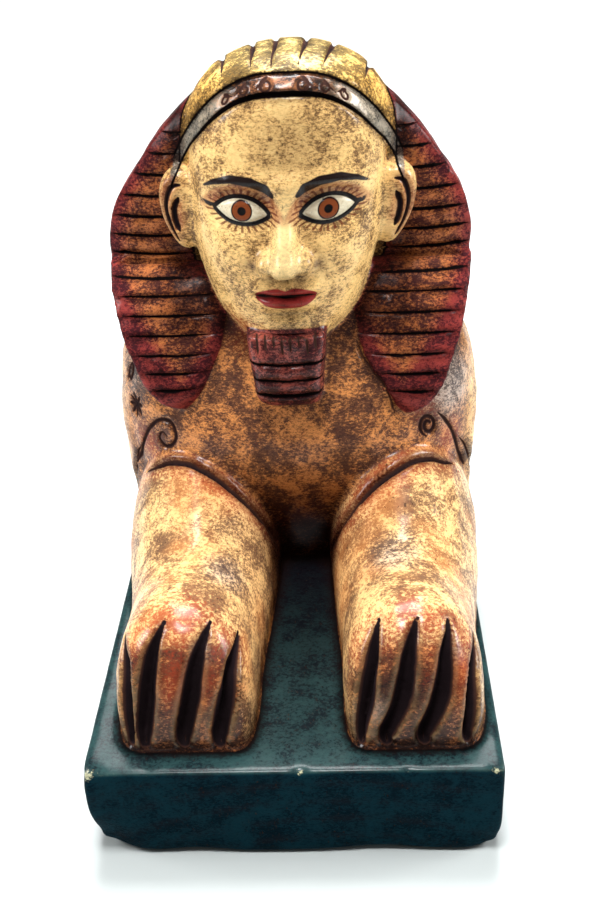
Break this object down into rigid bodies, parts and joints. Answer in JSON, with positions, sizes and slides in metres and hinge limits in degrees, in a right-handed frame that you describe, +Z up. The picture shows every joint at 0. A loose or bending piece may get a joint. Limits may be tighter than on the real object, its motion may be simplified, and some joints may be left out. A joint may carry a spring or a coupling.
{
  "type": "sphinx statue",
  "caption": "Recumbent sphinx carved with its plinth: man's head in a pleated headcloth, false beard, lion's body, outstretched forelegs.",
  "frame": {"origin": "middle of the plinth's underside", "axes": "+Z up, -Y the way the sphinx looks, +X to its left"},
  "size_m": [0.1267, 0.272, 0.204],
  "materials": {
    "painted_wood": "painted and varnished, worn"
  },
  "bodies": {
    "root": {"sphinx": "painted_wood"}
  },
  "joints": []
}
